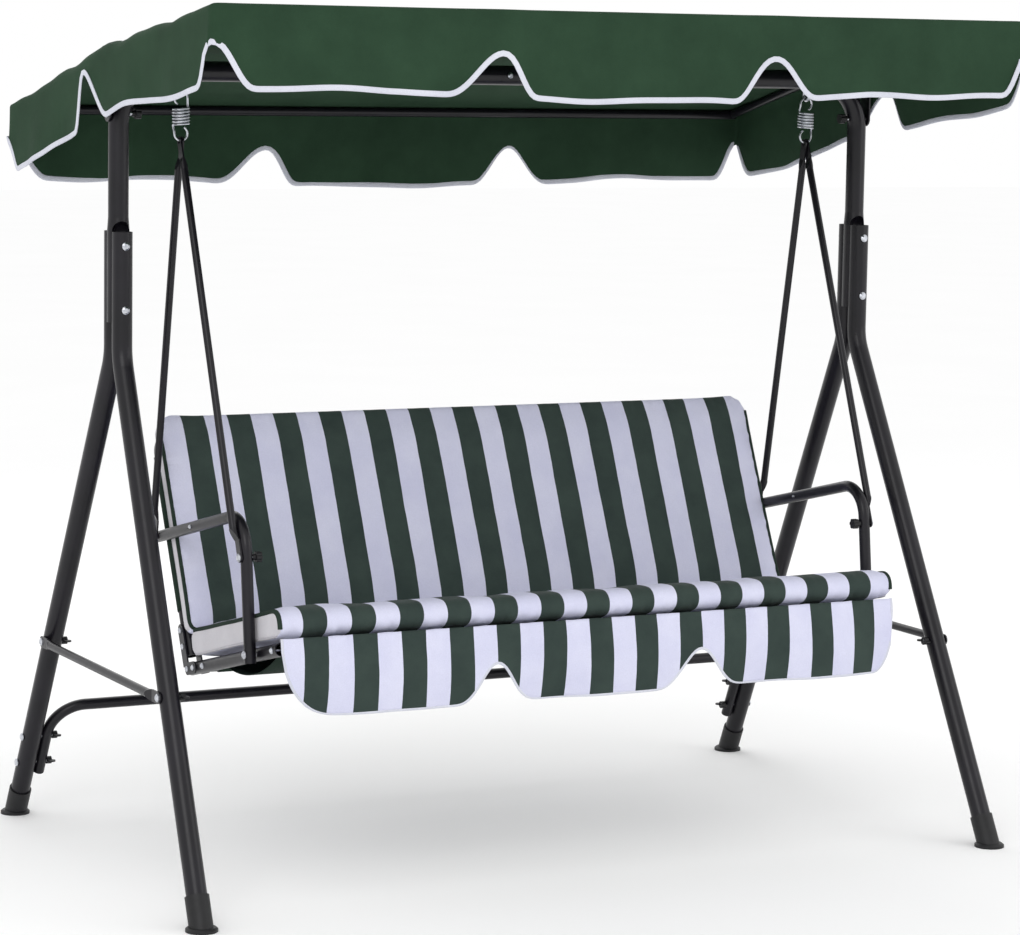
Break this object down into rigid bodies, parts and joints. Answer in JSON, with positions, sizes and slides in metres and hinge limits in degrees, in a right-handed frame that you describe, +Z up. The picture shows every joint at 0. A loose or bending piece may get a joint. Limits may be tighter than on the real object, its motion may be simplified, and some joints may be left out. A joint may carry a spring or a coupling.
{
  "type": "canopy swing bench",
  "caption": "Free-standing garden swing bench: A-frame stand of bent tube, spring-hung cushioned seat with armrests, and a tilting cloth canopy with scalloped edges.",
  "frame": {"origin": "on the ground under the middle of the top beam, at the middle of the feet", "axes": "+X along the bench to the right seen from the front, -Y to the front, +Z up"},
  "size_m": [1.718, 1.076, 1.614],
  "materials": {
    "frame_paint": "satin black powder coat on steel tube",
    "zinc": "bright zinc plate",
    "plastic": "moulded black plastic, fine grain",
    "canopy_cloth": "dark green coated polyester weave with white edge binding",
    "sling_cloth": "dark green woven sling",
    "striped_cloth": "white and dark green striped polyester weave with dark green binding"
  },
  "bodies": {
    "stand": {"front_leg_left": "frame_paint", "front_leg_right": "frame_paint", "rear_leg_left": "frame_paint", "rear_leg_right": "frame_paint", "foot_cap_front_left": "plastic", "foot_cap_front_right": "plastic", "foot_cap_rear_left": "plastic", "foot_cap_rear_right": "plastic", "top_beam_left": "frame_paint", "top_beam_right": "frame_paint", "side_brace_left": "frame_paint", "side_brace_right": "frame_paint", "crossbar_end_left": "frame_paint", "crossbar_end_right": "frame_paint", "hanger_eye_left": "zinc", "hanger_eye_right": "zinc", "beam_bolts": "zinc", "post_bolts": "zinc", "brace_bolts": "zinc", "brace_wing_nuts": "plastic", "crossbar_middle": "frame_paint", "crossbar_bolts": "zinc", "crossbar_wing_nuts": "plastic", "hanger_nuts": "zinc", "pivot_bolts": "zinc"},
    "springs": {"spring_left": "zinc", "spring_right": "zinc"},
    "seat": {"front_rod_left": "frame_paint", "front_rod_right": "frame_paint", "rear_rod_left": "frame_paint", "rear_rod_right": "frame_paint", "armrest_left": "frame_paint", "armrest_right": "frame_paint", "seat_rail_left": "frame_paint", "seat_rail_right": "frame_paint", "corner_bracket_left": "frame_paint", "corner_bracket_right": "frame_paint", "back_frame_left": "frame_paint", "back_frame_right": "frame_paint", "seat_front_tube": "frame_paint", "seat_rear_tube": "frame_paint", "seat_sling": "sling_cloth", "seat_bolts": "zinc", "corner_bolts": "zinc", "back_sling": "sling_cloth", "seat_cushion": "striped_cloth", "seat_flap": "striped_cloth", "back_cushion": "striped_cloth", "rod_bolts": "zinc", "rod_knobs": "plastic"},
    "canopy": {"canopy_arm_left": "frame_paint", "canopy_arm_right": "frame_paint", "canopy_bracket_left": "frame_paint", "canopy_bracket_right": "frame_paint", "canopy_front_rail": "frame_paint", "canopy_rear_rail": "frame_paint", "canopy_cover": "canopy_cloth", "bracket_bolts": "zinc"},
    "knob_left": {"pivot_knob_left": "plastic"},
    "knob_right": {"pivot_knob_right": "plastic"}
  },
  "joints": [
    {"name": "seat_swing", "type": "hinge", "parent": "stand", "child": "springs", "pos_m": [0, 0, 1.455], "axis": [1, 0, 0], "range_deg": [-25, 25]},
    {"name": "seat_bounce", "type": "slide", "parent": "springs", "child": "seat", "axis": [0, 0, 1], "range_m": [-0.025, 0.008], "stiffness_N_per_m": 20000, "springref_m": 0.01268, "deforming": ["spring_left", "spring_right"]},
    {"name": "canopy_tilt", "type": "hinge", "parent": "stand", "child": "canopy", "pos_m": [0, 0, 1.413], "axis": [1, 0, 0], "range_deg": [-15, 30]},
    {"name": "knob_left_turn", "type": "hinge", "parent": "stand", "child": "knob_left", "pos_m": [-0.77, 0, 1.413], "axis": [-1, 0, 0], "range_deg": [0, 360]},
    {"name": "knob_right_turn", "type": "hinge", "parent": "stand", "child": "knob_right", "pos_m": [0.77, 0, 1.413], "axis": [1, 0, 0], "range_deg": [0, 360]}
  ]
}
